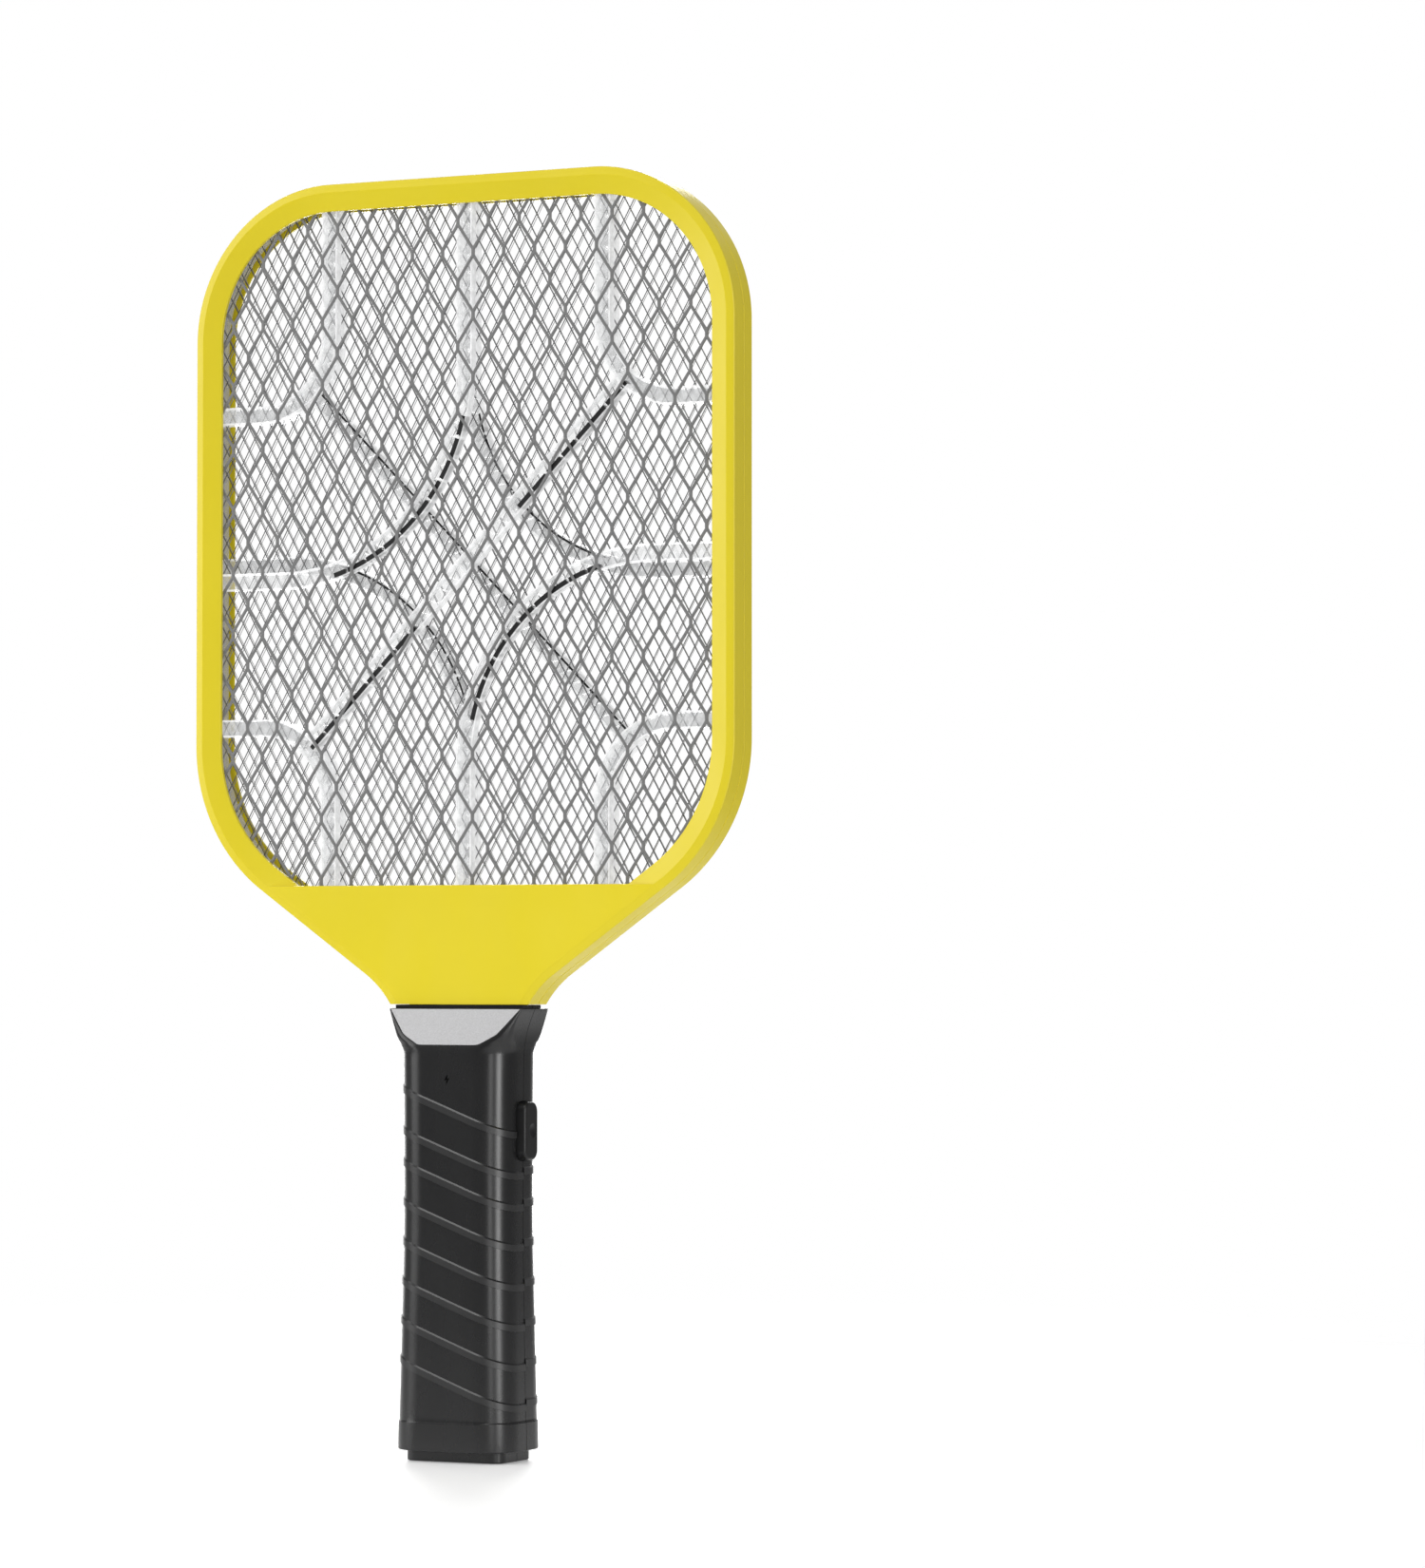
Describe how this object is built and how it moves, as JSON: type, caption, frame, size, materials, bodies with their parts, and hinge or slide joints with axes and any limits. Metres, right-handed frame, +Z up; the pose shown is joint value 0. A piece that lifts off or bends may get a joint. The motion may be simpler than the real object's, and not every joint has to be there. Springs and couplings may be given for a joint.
{
  "type": "electric fly swatter",
  "caption": "Racket-shaped electric fly swatter: framed stack of diamond meshes on a ribbed grip with a side push button and a rear battery door.",
  "frame": {"origin": "centre of the foot's underside, on the surface it stands on", "axes": "+Z up the handle to the top of the head, front faces -Y, button on +X"},
  "size_m": [0.2046, 0.0338, 0.43],
  "materials": {
    "yellow_plastic": "semi-gloss moulded",
    "guard_metal": "matte coated",
    "live_metal": "satin",
    "clear_plastic": "clear, fluted",
    "black_plastic": "satin moulded",
    "silver_trim": "satin",
    "button_plastic": "satin moulded",
    "lens_plastic": "smoked",
    "screw_steel": "zinc plated",
    "led_plastic": "tinted clear",
    "switch_plastic": "moulded",
    "plunger_plastic": "moulded",
    "board_laminate": "solder mask",
    "ferrite": "sintered",
    "winding_tape": "taped winding",
    "capacitor_film": "dipped",
    "diode_body": "moulded",
    "resistor_body": "lacquered",
    "transistor_body": "moulded",
    "cell_wrap": "shrink wrap",
    "contact_steel": "nickel plated",
    "wire_sleeve": "insulation"
  },
  "bodies": {
    "swatter": {"front_frame": "yellow_plastic", "rear_frame": "yellow_plastic", "front_guard_mesh": "guard_metal", "high_voltage_mesh": "live_metal", "rear_guard_mesh": "guard_metal", "front_spacer": "clear_plastic", "rear_spacer": "clear_plastic", "frame_screws": "screw_steel", "front_handle_shell": "black_plastic", "rear_handle_shell": "black_plastic", "handle_screws": "screw_steel", "trim_plate": "silver_trim", "indicator_lens": "lens_plastic", "indicator_led": "led_plastic", "switch_body": "switch_plastic", "circuit_board": "board_laminate", "transformer_core": "ferrite", "transformer_winding": "winding_tape", "storage_capacitor": "capacitor_film", "rectifier_diodes": "diode_body", "discharge_resistors": "resistor_body", "driver_transistor": "transistor_body", "battery_left": "cell_wrap", "battery_right": "cell_wrap", "contact_springs": "contact_steel", "link_contact": "contact_steel", "positive_contact": "contact_steel", "negative_contact": "contact_steel", "battery_wires": "wire_sleeve", "mesh_wires": "wire_sleeve"},
    "button": {"zap_button": "button_plastic"},
    "plunger": {"switch_plunger": "plunger_plastic"},
    "door": {"battery_door": "black_plastic"}
  },
  "joints": [
    {"name": "button_press", "type": "slide", "parent": "swatter", "child": "button", "axis": [-1, 0, 0], "range_m": [0, 0.0015], "stiffness_N_per_m": 900, "springref_m": -0.0009},
    {"name": "plunger_press", "type": "slide", "parent": "swatter", "child": "plunger", "axis": [-1, 0, 0], "range_m": [0, 0.0015]},
    {"name": "battery_door_hinge", "type": "hinge", "parent": "swatter", "child": "door", "pos_m": [0, 0.01655, 0.0144], "axis": [-1, 0, 0], "range_deg": [0, 75]}
  ],
  "couplings": [
    {"joint": "plunger_press", "follows": "button_press", "ratio": 1}
  ]
}
